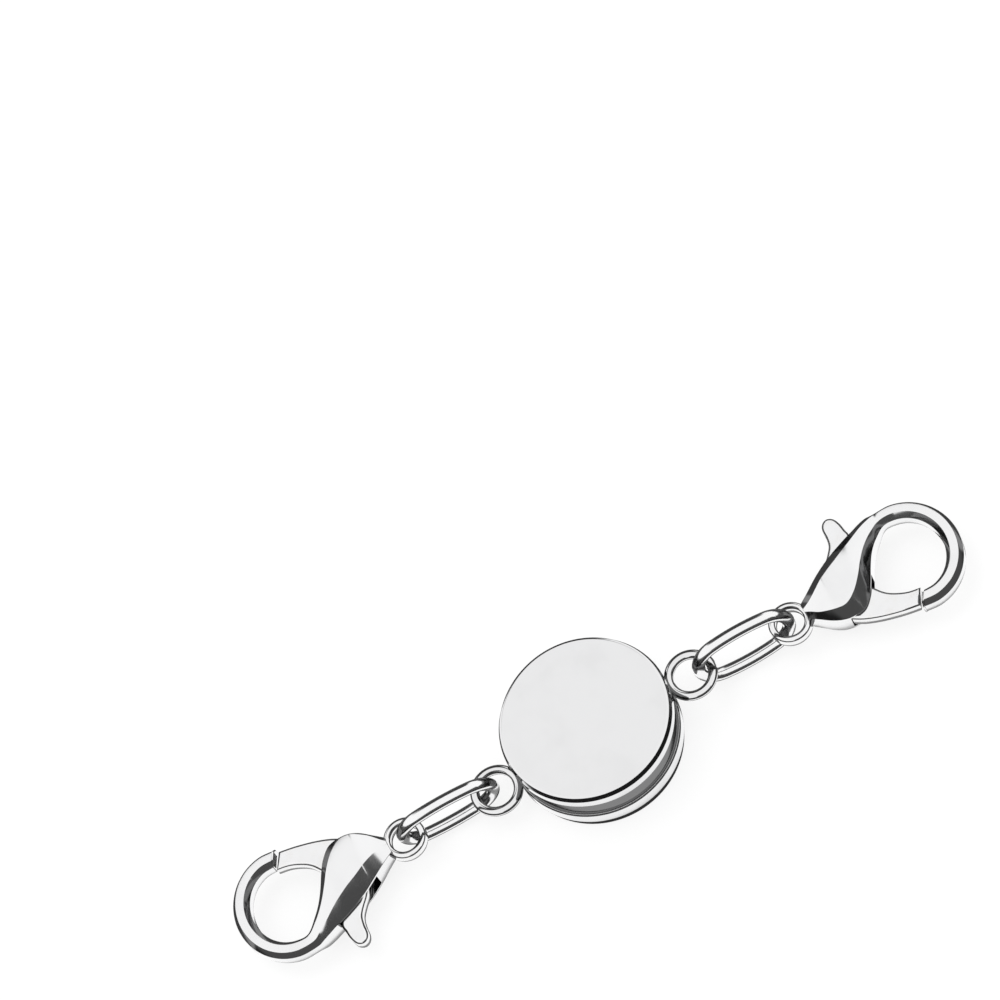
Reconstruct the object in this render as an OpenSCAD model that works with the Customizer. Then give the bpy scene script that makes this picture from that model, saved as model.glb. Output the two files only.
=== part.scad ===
// Magnetic clasp: two round halves that snap together, each with a soldered ring,
// a jump ring and a lobster claw. Millimetres, +Z up. The origin is on the round
// halves' axis, on the surface that the clasp lies on, and the chain runs along X.

/* [Round halves] */
// Diameter of the round halves
disc_d = 10; // [8:0.5:13]
// Thickness of the half that lies on the surface
lower_h = 1.6; // [1.5:0.1:2.4]
// Thickness of the half on top
upper_h = 2.3; // [1.6:0.1:2.8]
// Gap left between the two closed halves
seam = 0.03; // [0.02:0.01:0.08]
// Radius of the rounded outer edge
edge_r = 0.38; // [0.2:0.02:0.5]
// Small bevel on each half at the seam
seam_bevel = 0.07; // [0.03:0.01:0.12]

/* [Catch between the halves] */
// Outer diameter of the standing ring inside the upper half
catch_d = 8.1; // [6.9:0.1:8.4]
// Wall of the standing ring
catch_wall = 0.72; // [0.5:0.02:0.8]
// Height of the standing ring
catch_h = 0.75; // [0.5:0.05:0.8]
// Clearance round the standing ring in its groove
catch_gap = 0.07; // [0.04:0.01:0.12]
// How far the magnet's boss lies below the rim
boss_drop = 0.05; // [0.03:0.01:0.12]

/* [Magnets] */
// Diameter of the magnets
magnet_d = 4.6; // [3.6:0.1:4.8]
// Thickness of the magnets
magnet_h = 1; // [0.8:0.05:1.1]
// Clearance round and behind a magnet
magnet_gap = 0.04; // [0.02:0.01:0.06]

/* [Soldered rings] */
// Diameter of the hole in a soldered ring
eye_hole_d = 2; // [1.7:0.1:2.4]
// Wire of a soldered ring
eye_wire = 0.55; // [0.45:0.05:0.65]
// How deep the soldered ring sits in the wall
solder_bite = 0.2; // [0.1:0.05:0.25]
// Height of the upper soldered ring above the seam
upper_eye_rise = 0.1; // [0.05:0.05:0.5]
// Depth of the lower soldered ring below the seam
lower_eye_drop = 0.05; // [0.05:0.01:0.1]

/* [Jump rings] */
// Outside length of a jump ring
ring_long = 6.45; // [6:0.05:7]
// Outside width of a jump ring
ring_wide = 4; // [3.9:0.05:4.2]
// Radius of a jump ring's bends at the middle of its wire
ring_bend_r = 1.5; // [1.44:0.02:1.56]
// Wire of a jump ring
ring_wire = 0.75; // [0.65:0.05:0.78]
// Lean of a jump ring from upright, in degrees
ring_lean = 5; // [0:1:10]
// Clearance between a jump ring and what it holds
link_play = 0.07; // [0.05:0.01:0.1]

/* [Claws] */
// Length of a claw over its eye and hook
claw_len = 11.95; // [11:0.05:14]
// Width of a claw over its hook
claw_w = 6.8; // [6.3:0.1:7.6]
// Thickness of a claw's body
claw_t = 3; // [2.9:0.05:3.3]
// Length of the hook over its bend
hook_l = 6.2; // [5.8:0.1:6.6]
// Width of the hook's band
hook_band = 1; // [0.8:0.05:1.1]
// Thickness of the hook's band
hook_t = 1.44; // [1.2:0.05:1.7]
// Diameter of the hole in a claw's eye
claw_eye_hole = 1.66; // [1.6:0.02:1.8]
// Wall of a claw's eye, rounded to half of this
claw_eye_wall = 0.42; // [0.36:0.02:0.5]
// Thickness of a claw's eye
claw_eye_t = 0.8; // [0.7:0.05:0.9]

/* [Lever] */
// Thickness of the lever
lever_t = 0.9; // [0.9:0.05:1.2]
// Clearance of the lever in its slot, on every side
lever_gap = 0.06; // [0.04:0.01:0.1]
// Gap between the gate and the hook's tip
tip_gap = 0.15; // [0.1:0.01:0.25]
// Height of the trigger above the hook's side
trigger_rise = 1.14; // [0.8:0.02:1.6]
// Swing of the lever, in degrees
lever_swing = 22; // [15:1:25]
// Diameter of the lever's pin
pin_d = 0.7; // [0.5:0.05:0.8]
// Radial clearance of the pin in the body
pin_seat_gap = 0.02; // [0.01:0.01:0.03]
// Radial running clearance of the pin in the lever
pin_run_gap = 0.05; // [0.03:0.01:0.08]
// Metal left over the blind end of the pin's hole
pin_cover = 0.4; // [0.3:0.05:0.5]

/* [Hidden] */

silver = [0.8, 0.8, 0.81];
dark_silver = [0.66, 0.66, 0.68];
round_fn = 96;
wire_fn = 48;
over = 0.5; // how far a cutter reaches past what it cuts

// Round halves, seen from the axis outwards
disc_r = disc_d / 2;
seam_z = lower_h + seam;
top_z = seam_z + upper_h;
catch_r = catch_d / 2;
catch_in_r = catch_r - catch_wall;
groove_r = catch_r + catch_gap;
boss_r = catch_in_r - catch_gap;
groove_deep = catch_h + catch_gap;
magnet_r = magnet_d / 2;
pocket_r = magnet_r + magnet_gap;
pocket_deep = magnet_h + magnet_gap;
boss_z = lower_h - boss_drop;

// Soldered rings
eye_r = (eye_hole_d + eye_wire) / 2;
eye_x = disc_r + eye_hole_d / 2 + eye_wire - solder_bite;
lower_eye_z = lower_h - lower_eye_drop - eye_wire / 2;
upper_eye_z = seam_z + upper_eye_rise + eye_wire / 2;

// Jump rings: ovals of four arcs that run into each other, standing on their edge
ring_half_l = (ring_long - ring_wire) / 2;
ring_half_w = (ring_wide - ring_wire) / 2;
ring_side_r =
    (pow(ring_half_l, 2) + pow(ring_half_w, 2) - 2 * ring_half_l * ring_bend_r)
    / (2 * (ring_half_w - ring_bend_r));
bend_x = ring_half_l - ring_bend_r;
side_y = ring_side_r - ring_half_w;
bend_angle = atan2(side_y, bend_x);
ring_z = ring_half_w * cos(ring_lean) + ring_wire / 2;

// Middle line of a jump ring as [x, y, direction outwards], along its four arcs
wire_sides = 12;
bend_steps = 14;
side_steps = 6;
function arc_stop(c, r, angle) = [c.x + r * cos(angle), c.y + r * sin(angle), angle];
half_ring = concat(
    [for (k = [0:bend_steps - 1])
        arc_stop([bend_x, 0], ring_bend_r, bend_angle * (2 * k / bend_steps - 1))],
    [for (k = [0:side_steps - 1])
        arc_stop([0, -side_y], ring_side_r,
                 bend_angle + (180 - 2 * bend_angle) * k / side_steps)]
);
ring_line = concat(half_ring, [for (p = half_ring) [-p.x, -p.y, p.z + 180]]);

// Corners of the wire's section at one place of the middle line
function wire_section(p) = [
    for (k = [0:wire_sides - 1])
        let (turn = 360 * k / wire_sides, out = ring_wire / 2 * cos(turn))
        [p.x + out * cos(p.z), p.y + out * sin(p.z), ring_wire / 2 * sin(turn)]
];

// Claws: the eye's centre is the claw's own origin
claw_z = claw_t / 2;
eye_wall_r = claw_eye_wall / 2;
eye_out_r = claw_eye_hole / 2 + claw_eye_wall;
hook_rx = hook_l / 2;
hook_ry = claw_w / 2;
hook_x = claw_len - eye_out_r - hook_rx;
hook_end_in = -98; // angle of the hook's end on its inner side
hook_end_out = -105; // and on its outer side
hook_start = 100; // angle where the body runs into the hook
pivot = [0.408 * hook_x, -0.045 * hook_ry];
slot_t = lever_t + 2 * lever_gap;

// How far a rounded part can lie into a bend of free radius r at the height dz
function reach(r, dz) = sqrt(max(0, r * r - dz * dz));

// Places along the chain of the jump ring that passes an eye at the height z,
// and of the claw that hangs on this ring, both pulled out straight
function ring_x(z) =
    eye_x + eye_r + bend_x
    + reach(ring_bend_r - (eye_wire + ring_wire) / 2 - link_play, z - ring_z);
function claw_x(z) =
    ring_x(z) + bend_x + claw_eye_hole / 2 + eye_wall_r
    + reach(ring_bend_r - eye_wall_r - ring_wire / 2 - link_play,
            claw_z - claw_eye_t / 2 + eye_wall_r - ring_z);

// Sections of a claw from its eye to the hook. The columns are the outer edge's
// x and y, the inner edge's x and y, the share of the width that the outer and
// the inner bevel take, the face's height, and the share of this height that the
// upright walls take. Each x is a share of the distance to the hook's centre, each
// y of the hook's half width, and each height of the body's half thickness.
BODY_ROWS = [
    [0.13, 0.15, 0.13, -0.15, 0.45, 0.34, 0.50, 0.68],
    [0.21, 0.26, 0.20, -0.28, 0.36, 0.16, 0.70, 0.56],
    [0.285, 0.375, 0.275, -0.42, 0.285, 0.14, 0.88, 0.49],
    [0.36, 0.485, 0.35, -0.51, 0.24, 0.13, 1.00, 0.44],
    [0.43, 0.58, 0.43, -0.54, 0.22, 0.14, 1.00, 0.42],
    [0.52, 0.68, 0.53, -0.50, 0.21, 0.23, 1.00, 0.41],
    [0.60, 0.755, 0.61, -0.33, 0.21, 0.29, 0.97, 0.42],
    [0.665, 0.81, 0.665, -0.13, 0.22, 0.33, 0.91, 0.45],
    [0.735, 0.865, 0.725, 0.13, 0.23, 0.33, 0.82, 0.49],
    [0.80, 0.92, 0.785, 0.345, 0.24, 0.31, 0.72, 0.54],
    [0.865, 0.965, 0.855, 0.52, 0.25, 0.30, 0.61, 0.55]
];
hook_steps = 10;
smooth_steps = 3;
hook_bevel_out = 0.25; // the hook's bevels, as shares of its band
hook_bevel_in = 0.28;
hook_wall = 0.46; // height of the hook's upright walls, as a share of its face's height

function hook_point(rx, ry, angle) = [hook_x + rx * cos(angle), ry * sin(angle)];
function outer_point(angle) = hook_point(hook_rx, hook_ry, angle);
function inner_point(angle) =
    hook_point(hook_rx - hook_band, hook_ry - hook_band, angle);
function body_row(r) = [
    r[0] * hook_x, r[1] * hook_ry, r[2] * hook_x, r[3] * hook_ry,
    r[4], r[5], r[6] * claw_t / 2, r[7]
];
function hook_row(share) =
    let (
        o = outer_point(hook_start + (hook_end_out - hook_start) * share),
        i = inner_point(hook_start + (hook_end_in - hook_start) * share)
    )
    [o.x, o.y, i.x, i.y, hook_bevel_out, hook_bevel_in, hook_t / 2, hook_wall];
claw_rows = concat(
    [for (r = BODY_ROWS) body_row(r)],
    [for (k = [0:hook_steps]) hook_row(k / hook_steps)]
);

// A smooth curve through four neighbours a, b, c and d, from b to c
function curve(a, b, c, d, t) =
    (2 * b + (c - a) * t + (2 * a - 5 * b + 4 * c - d) * t * t
     + (3 * b - a - 3 * c + d) * t * t * t) / 2;
function smooth(rows) =
    let (last = len(rows) - 1)
    [
        for (k = [0:last - 1])
            for (s = [0:smooth_steps - 1])
                curve(rows[max(k - 1, 0)], rows[k], rows[k + 1],
                      rows[min(k + 2, last)], s / smooth_steps),
        rows[last]
    ];

// The eight corners of one section: an upright wall on each side, a bevel above
// and below it, and flat faces
function section(r) =
    let (
        o = [r[0], r[1]],
        i = [r[2], r[3]],
        fo = o + (i - o) * r[4],
        fi = i + (o - i) * r[5],
        h = min(r[6], claw_t / 2),
        w = h * r[7]
    )
    [
        [o.x, o.y, w], [fo.x, fo.y, h], [fi.x, fi.y, h], [i.x, i.y, w],
        [i.x, i.y, -w], [fi.x, fi.y, -h], [fo.x, fo.y, -h], [o.x, o.y, -w]
    ];

// Outline of the lever round its pin, from the trigger's root anticlockwise back
// to it. Each x is a share of the distance to the hook's centre and each y of the
// hook's half width; the trigger and the gate's end are worked out by themselves.
LEVER_ROOT = [[0.63, 0.62], [0.575, 0.36], [0.565, 0.12], [0.62, -0.08]];
GATE_INSIDE = [[0.66, -0.21], [0.71, -0.37], [0.77, -0.48], [0.86, -0.58]];
GATE_OUTSIDE = [[0.755, -0.85], [0.59, -0.74], [0.455, -0.60]];
LEVER_BACK = [[0.345, -0.40], [0.29, -0.18], [0.30, 0.06], [0.355, 0.27], [0.43, 0.58]];
// Trigger: x as a share of the distance to the hook's centre, y as a share of
// the trigger's height over the body's edge at its root
TRIGGER = [
    [0.485, 0.10], [0.53, 0.31], [0.546, 0.55], [0.55, 0.79], [0.573, 0.94],
    [0.615, 1.00], [0.66, 0.92], [0.685, 0.73], [0.695, 0.50], [0.70, 0.28]
];
trigger_top = hook_ry + trigger_rise;
trigger_root = 0.66 * hook_ry;

function share_point(p) = [p.x * hook_x, p.y * hook_ry];
function trigger_point(p) =
    [p.x * hook_x, trigger_root + p.y * (trigger_top - trigger_root)];
tip_in = inner_point(hook_end_in);
tip_out = outer_point(hook_end_out);
tip_along = (tip_out - tip_in) / norm(tip_out - tip_in);
tip_away = [tip_along.y, -tip_along.x];
gate_end_in = tip_in + tip_away * tip_gap - tip_along * 0.2 * hook_band;
gate_end_out = tip_in + tip_away * tip_gap + tip_along * 0.9 * hook_band;
lever_outline = concat(
    [for (k = [len(TRIGGER) - 1:-1:0]) trigger_point(TRIGGER[k])],
    [for (k = [len(LEVER_BACK) - 1:-1:0]) share_point(LEVER_BACK[k])],
    [for (k = [len(GATE_OUTSIDE) - 1:-1:0]) share_point(GATE_OUTSIDE[k])],
    [gate_end_out, gate_end_in],
    [for (k = [len(GATE_INSIDE) - 1:-1:0]) share_point(GATE_INSIDE[k])],
    [for (k = [len(LEVER_ROOT) - 1:-1:0]) share_point(LEVER_ROOT[k])]
);

// Points of a quarter circle round c, from the angle a on
function quarter(c, r, a) =
    [for (k = [0:8]) [c.x + r * cos(a + k * 90 / 8), c.y + r * sin(a + k * 90 / 8)]];

// A round half as a turned profile: its outer face at height 0, its rim at h
module turned_half(h) {
    rotate_extrude($fn = round_fn)
        polygon(concat(
            [[0, 0]],
            quarter([disc_r - edge_r, edge_r], edge_r, -90),
            [[disc_r, h - seam_bevel], [disc_r - seam_bevel, h], [0, h]]
        ));
}

module soldered_ring(z) {
    translate([eye_x, 0, z])
        rotate_extrude($fn = round_fn)
            translate([eye_r, 0]) circle(d = eye_wire, $fn = wire_fn);
}

module bored_ring(out_r, in_r, h) {
    difference() {
        cylinder(r = out_r, h = h, $fn = round_fn);
        translate([0, 0, -over]) cylinder(r = in_r, h = h + 2 * over, $fn = round_fn);
    }
}

// Turns a thing on the upper half's side round to the lower half's side
module other_side() {
    rotate([0, 0, 180]) children();
}

module lower_cup() {
    color(silver)
        difference() {
            union() {
                turned_half(lower_h);
                other_side() soldered_ring(lower_eye_z);
            }
            translate([0, 0, lower_h - groove_deep])
                bored_ring(groove_r, boss_r, groove_deep + over);
            translate([0, 0, boss_z])
                cylinder(r = (boss_r + groove_r) / 2, h = over, $fn = round_fn);
            translate([0, 0, boss_z - pocket_deep])
                cylinder(r = pocket_r, h = pocket_deep + over, $fn = round_fn);
        }
}

module upper_cup() {
    color(silver)
        difference() {
            union() {
                translate([0, 0, top_z]) mirror([0, 0, 1]) turned_half(upper_h);
                translate([0, 0, seam_z - catch_h])
                    bored_ring(catch_r, catch_in_r, catch_h + seam_bevel);
                soldered_ring(upper_eye_z);
            }
            translate([0, 0, seam_z - over])
                cylinder(r = pocket_r, h = pocket_deep + over, $fn = round_fn);
        }
}

module lower_magnet() {
    color(dark_silver)
        translate([0, 0, boss_z - magnet_h])
            cylinder(r = magnet_r, h = magnet_h, $fn = round_fn);
}

module upper_magnet() {
    color(dark_silver)
        translate([0, 0, seam_z])
            cylinder(r = magnet_r, h = magnet_h, $fn = round_fn);
}

// Wire swept round the closed middle line
module ring_of_wire() {
    n = wire_sides;
    count = len(ring_line) * n;
    polyhedron(
        points = [for (p = ring_line) for (q = wire_section(p)) q],
        faces = concat(
            [for (k = [0:n:count - 1]) for (j = [0:n - 1])
                [k + j, k + (j + 1) % n, (k + n + (j + 1) % n) % count]],
            [for (k = [0:n:count - 1]) for (j = [0:n - 1])
                [k + j, (k + n + (j + 1) % n) % count, (k + n + j) % count]]
        ),
        convexity = 4
    );
}

module jump_ring(eye_z) {
    color(silver)
        translate([ring_x(eye_z), 0, ring_z])
            rotate([90 - ring_lean, 0, 0]) ring_of_wire();
}

// A solid skin over rings of points, closed at both ends
module loft(rings) {
    n = len(rings[0]);
    last = len(rings) - 1;
    polyhedron(
        points = [for (ring = rings) for (p = ring) p],
        faces = concat(
            [for (k = [0:last - 1]) for (j = [0:n - 1])
                [k * n + j, (k + 1) * n + (j + 1) % n, k * n + (j + 1) % n]],
            [for (k = [0:last - 1]) for (j = [0:n - 1])
                [k * n + j, (k + 1) * n + j, (k + 1) * n + (j + 1) % n]],
            [[for (j = [0:n - 1]) j]],
            [[for (j = [n - 1:-1:0]) last * n + j]]
        ),
        convexity = 4
    );
}

module claw_eye() {
    wall_r = claw_eye_hole / 2 + eye_wall_r;
    side = claw_eye_t - claw_eye_wall;
    rotate_extrude($fn = round_fn) {
        translate([wall_r, side / 2]) circle(r = eye_wall_r, $fn = wire_fn);
        translate([wall_r, -side / 2]) circle(r = eye_wall_r, $fn = wire_fn);
        translate([wall_r - eye_wall_r, -side / 2]) square([claw_eye_wall, side]);
    }
}

module lever_plate_outline() {
    polygon(lever_outline);
}

// The slot that the lever sweeps through, with its clearance
module lever_slot() {
    translate([0, 0, -slot_t / 2])
        linear_extrude(slot_t)
            for (turn = [0:lever_swing / 4:lever_swing])
                translate(pivot) rotate(turn) translate(-pivot)
                    offset(delta = lever_gap) lever_plate_outline();
}

module claw_body() {
    color(silver)
        difference() {
            union() {
                claw_eye();
                loft([for (r = smooth(claw_rows)) section(r)]);
            }
            cylinder(d = claw_eye_hole, h = claw_t, center = true, $fn = round_fn);
            lever_slot();
            translate([pivot.x, pivot.y, -claw_t / 2 - over])
                cylinder(d = pin_d + 2 * pin_seat_gap,
                         h = claw_t - pin_cover + over, $fn = wire_fn);
        }
}

module claw_lever() {
    color(silver)
        difference() {
            translate([0, 0, -lever_t / 2]) linear_extrude(lever_t) lever_plate_outline();
            translate(pivot)
                cylinder(d = pin_d + 2 * pin_run_gap, h = lever_t + 2 * over,
                         center = true, $fn = wire_fn);
        }
}

module claw_pin() {
    color(dark_silver)
        translate([pivot.x, pivot.y, -claw_t / 2 + pin_seat_gap])
            cylinder(d = pin_d, h = claw_t - pin_cover - 2 * pin_seat_gap, $fn = wire_fn);
}

// Puts a claw's piece at the end of the chain that starts at an eye's height
module on_chain(eye_z) {
    translate([claw_x(eye_z), 0, claw_z]) children();
}

module lower_jump_ring() { other_side() jump_ring(lower_eye_z); }
module upper_jump_ring() { jump_ring(upper_eye_z); }
module lower_claw_body() { other_side() on_chain(lower_eye_z) claw_body(); }
module upper_claw_body() { on_chain(upper_eye_z) claw_body(); }
module lower_claw_lever() { other_side() on_chain(lower_eye_z) claw_lever(); }
module upper_claw_lever() { on_chain(upper_eye_z) claw_lever(); }
module lower_claw_pin() { other_side() on_chain(lower_eye_z) claw_pin(); }
module upper_claw_pin() { on_chain(upper_eye_z) claw_pin(); }

lower_cup();
lower_magnet();
lower_jump_ring();
lower_claw_body();
lower_claw_lever();
lower_claw_pin();
upper_cup();
upper_magnet();
upper_jump_ring();
upper_claw_body();
upper_claw_lever();
upper_claw_pin();
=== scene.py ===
"""Looks of a magnetic clasp: polished plating on the two round halves, their rings and their claws.

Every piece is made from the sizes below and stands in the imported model's frame, in metres. The shapes are
worked out in millimetres in a piece's own place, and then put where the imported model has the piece.
"""

import math

import bmesh
import bpy
from bpy.props import FloatProperty, FloatVectorProperty, IntProperty, PointerProperty
from mathutils import Matrix, Vector


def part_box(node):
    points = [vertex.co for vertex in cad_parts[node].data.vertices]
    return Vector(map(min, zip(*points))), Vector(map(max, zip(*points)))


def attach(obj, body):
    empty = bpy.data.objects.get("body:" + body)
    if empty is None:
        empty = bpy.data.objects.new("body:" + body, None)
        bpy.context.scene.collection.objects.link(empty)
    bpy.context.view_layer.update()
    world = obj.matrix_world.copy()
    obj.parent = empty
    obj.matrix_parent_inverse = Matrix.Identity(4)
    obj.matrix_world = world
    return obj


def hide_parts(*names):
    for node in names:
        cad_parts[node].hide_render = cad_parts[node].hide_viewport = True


bl_info = {
    "name": "Magnetic clasp",
    "version": (1, 0, 0),
    "blender": (4, 5, 0),
    "location": "3D View > Sidebar > Clasp",
    "description": "Builds a polished magnetic clasp with two lobster claws",
    "category": "Add Mesh",
}

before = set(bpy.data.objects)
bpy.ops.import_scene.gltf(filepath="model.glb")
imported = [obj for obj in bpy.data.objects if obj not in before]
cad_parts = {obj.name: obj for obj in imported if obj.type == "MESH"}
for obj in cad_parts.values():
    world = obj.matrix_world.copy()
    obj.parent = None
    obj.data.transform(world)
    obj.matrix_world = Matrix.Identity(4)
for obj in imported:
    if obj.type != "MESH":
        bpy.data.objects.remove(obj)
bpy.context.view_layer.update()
MM = 0.001
# Sides of a round wire, and the distance in millimetres below which two points are one
WIRE_SIDES, ONE_POINT = 28, 1e-4


def declared(kind, scale=None, **fixed):
    """A short call for Blender properties of one kind, their defaults in a handier unit"""

    def call(name, description, value):
        default = value * scale if scale else value
        return kind(name=name, description=description, default=default, **fixed)

    return call


# Sizes in millimetres, angles in degrees, colours, and shares from 0 to 1
length = declared(FloatProperty, MM, min=0, unit="LENGTH", precision=5)
angle = declared(FloatProperty, math.radians(1), subtype="ANGLE")
tone = declared(FloatVectorProperty, min=0, max=1, subtype="COLOR")
share = declared(FloatProperty, min=0, max=1, subtype="FACTOR")


class HalfSizes(bpy.types.PropertyGroup):
    diameter: length("Diameter", "Diameter of the round halves", 10)
    lower_height: length("Lower height", "Thickness of the half that lies on the surface", 1.6)
    upper_height: length("Upper height", "Thickness of the half on top", 2.3)
    seam: length("Seam", "Gap left between the closed halves", 0.03)
    foot: length("Foot", "Radius of the rounded edge that the lower half lies on", 0.1)
    foot_taper: length("Foot taper", "How far the lower half's side draws in towards its foot", 0.16)
    foot_rise: length("Foot rise", "Height where the lower half's side starts to draw in", 0.72)
    ease_wide: length("Ease width", "Width of the soft edge of the top face", 0.12)
    ease_high: length("Ease height", "Height of the soft edge of the top face", 0.06)
    bevel_wide: length("Bevel width", "Width of the polished bevel outside the soft edge", 0.12)
    bevel_high: length("Bevel height", "Height of the polished bevel outside the soft edge", 0.3)
    band: length("Band", "Height of the upright band under the bevel", 0.55)
    taper: length("Taper", "How far the side draws in from its band to the seam", 0.14)
    seam_bevel_wide: length("Seam bevel width", "Width of the lower half's bevel at the seam", 0.07)
    seam_bevel_high: length("Seam bevel height", "Height of the lower half's bevel at the seam", 0.11)
    catch_diameter: length("Catch", "Outer diameter of the standing ring", 8.1)
    catch_wall: length("Catch wall", "Wall of the standing ring", 0.72)
    catch_height: length("Catch height", "Height of the standing ring", 0.75)
    catch_gap: length("Catch gap", "Clearance of the standing ring in its groove", 0.07)
    boss_drop: length("Boss drop", "How far the magnet's boss lies below the rim", 0.05)
    magnet_diameter: length("Magnet", "Diameter of the magnets", 4.6)
    magnet_height: length("Magnet height", "Thickness of the magnets", 1)
    magnet_gap: length("Magnet gap", "Clearance round and behind a magnet", 0.04)
    eye_hole: length("Eye hole", "Hole of a soldered ring", 2)
    eye_wire: length("Eye wire", "Wire of a soldered ring", 0.55)
    solder_bite: length("Solder bite", "How deep the soldered ring sits in the wall", 0.2)
    upper_eye_rise: length("Upper eye", "Height of the upper soldered ring above the seam", 0.1)
    lower_eye_drop: length("Lower eye", "Depth of the lower soldered ring below the seam", 0.05)


class RingSizes(bpy.types.PropertyGroup):
    long: length("Length", "Outside length of a jump ring", 6.45)
    wide: length("Width", "Outside width of a jump ring", 4)
    bend: length("Bend", "Radius of a jump ring's bends at the middle of its wire", 1.5)
    wire: length("Wire", "Wire of a jump ring", 0.75)
    lean: angle("Lean", "Lean of a jump ring from upright", 5)
    stations: IntProperty(name="Stations", description="Places along the wire", default=160, min=24)


class ClawSizes(bpy.types.PropertyGroup):
    long: length("Length", "Length of a claw over its eye and hook", 11.95)
    wide: length("Width", "Width of a claw over its hook", 6.8)
    thick: length("Thickness", "Thickness of a claw's body", 3)
    hook_long: length("Hook length", "Length of the hook over its bend", 6.2)
    hook_band: length("Hook band", "Width of the hook's band", 1)
    hook_thick: length("Hook thickness", "Thickness of the hook's band", 1.44)
    eye_hole: length("Eye hole", "Hole in a claw's eye", 1.66)
    eye_wall: length("Eye wall", "Wall of a claw's eye", 0.42)
    eye_thick: length("Eye thickness", "Thickness of a claw's eye", 0.8)
    lever_thick: length("Lever", "Thickness of the lever", 0.9)
    lever_gap: length("Lever gap", "Clearance of the lever in its slot", 0.06)
    tip_gap: length("Tip gap", "Gap between the gate and the hook's tip", 0.15)
    trigger: length("Trigger", "Height of the trigger above the hook's side", 1.14)
    swing: angle("Swing", "Swing of the lever", 22)
    pin: length("Pin", "Diameter of the lever's pin", 0.7)
    pin_seat_gap: length("Pin seat", "Clearance of the pin in the body", 0.02)
    pin_run_gap: length("Pin run", "Clearance of the pin in the lever", 0.05)
    pin_cover: length("Pin cover", "Metal over the blind end of the pin's hole", 0.4)
    ridge: length("Ridge", "Rounding of the ridges between the facets", 0.05)
    lever_ridge: length("Lever ridge", "Bevel on the lever's edges", 0.15)


class Finish(bpy.types.PropertyGroup):
    cup: tone("Round halves", "Plating of the round halves", (0.76, 0.76, 0.765))
    claw: tone("Claws", "Plating of the claws and levers", (0.82, 0.82, 0.825))
    wire: tone("Jump rings", "Plating of the jump rings", (0.85, 0.85, 0.855))
    magnet: tone("Magnets", "Nickel on the magnets", (0.78, 0.77, 0.76))
    pin: tone("Pins", "Bare steel of the pins", (0.56, 0.56, 0.58))
    worn: tone("Worn edge", "Metal that shows where the plating is rubbed", (0.8, 0.77, 0.72))
    polish: share("Polish", "Roughness of the polished plating", 0.07)
    satin: share("Satin", "Roughness of the cast claws' plating", 0.09)
    drawn: share("Drawn wire", "Roughness of the jump rings' drawn wire", 0.13)
    nickel: share("Nickel", "Roughness of the magnets' plating", 0.16)
    steel: share("Steel", "Roughness of the pins", 0.22)
    wear: share("Wear", "How much the edges are rubbed", 0.25)
    scratches: share("Scratches", "Strength of the hairline scratches", 0.25)


class Studio(bpy.types.PropertyGroup):
    azimuth: angle("Azimuth", "Side that the camera looks from", 2.55)
    elevation: angle("Elevation", "Height angle of the camera", 59.2)
    roll: angle("Roll", "Turn of the picture", 31.5)
    lens: FloatProperty(name="Lens", description="Focal length in millimetres", default=150, min=10)
    field: length("Field", "Width of the view at the clasp", 56.5)
    right: length("Origin right", "How far right of the picture's middle the origin shows", 5.7)
    below: length("Origin below", "How far below the picture's middle the origin shows", 13.8)
    floor: length("Floor", "Width of the pale floor", 4000)


GROUPS = {
    "clasp_halves": HalfSizes,
    "clasp_rings": RingSizes,
    "clasp_claws": ClawSizes,
    "clasp_finish": Finish,
    "clasp_studio": Studio,
}


def own(group):
    """The properties that a group itself declares"""
    return [p for p in group.bl_rna.properties if p.identifier not in ("rna_type", "name")]


def mm(group):
    """The sizes of a property group in millimetres, as plain numbers by name"""
    kept = {}
    for size in own(group):
        value = getattr(group, size.identifier)
        kept[size.identifier] = value / MM if size.unit == "LENGTH" else value
    return kept


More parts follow.
